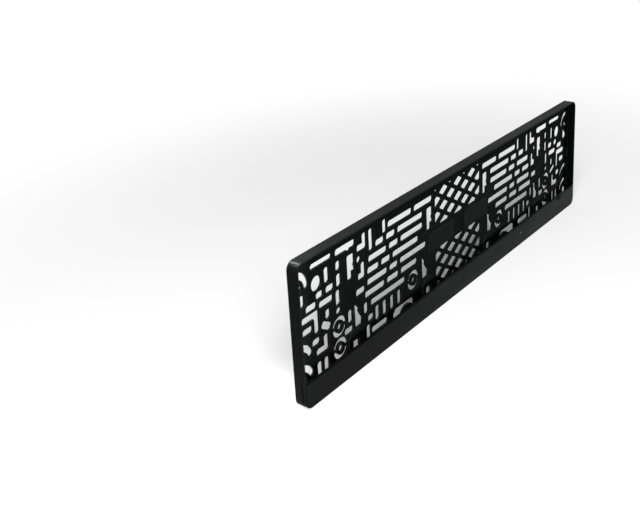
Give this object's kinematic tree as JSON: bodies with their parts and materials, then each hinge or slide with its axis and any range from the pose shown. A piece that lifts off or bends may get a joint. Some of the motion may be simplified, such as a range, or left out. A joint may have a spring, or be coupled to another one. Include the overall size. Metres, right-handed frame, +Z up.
{
  "type": "number plate holder",
  "caption": "Shallow rectangular number plate holder: a rimmed tray with a perforated back wall and a clip-on strip along its lower front edge that keeps the plate in.",
  "frame": {"origin": "middle of the lower edge: half way along the length and half way through the depth", "axes": "+X along the length, +Z up, the open front with the strip faces -Y"},
  "size_m": [0.535, 0.012, 0.135],
  "materials": {
    "tray_plastic": "black injection moulding, satin on the rim and fine-grained on the wall",
    "strip_plastic": "black injection moulding with a plain satin front"
  },
  "bodies": {
    "root": {"tray": "tray_plastic", "clip_strip": "strip_plastic"}
  },
  "joints": []
}
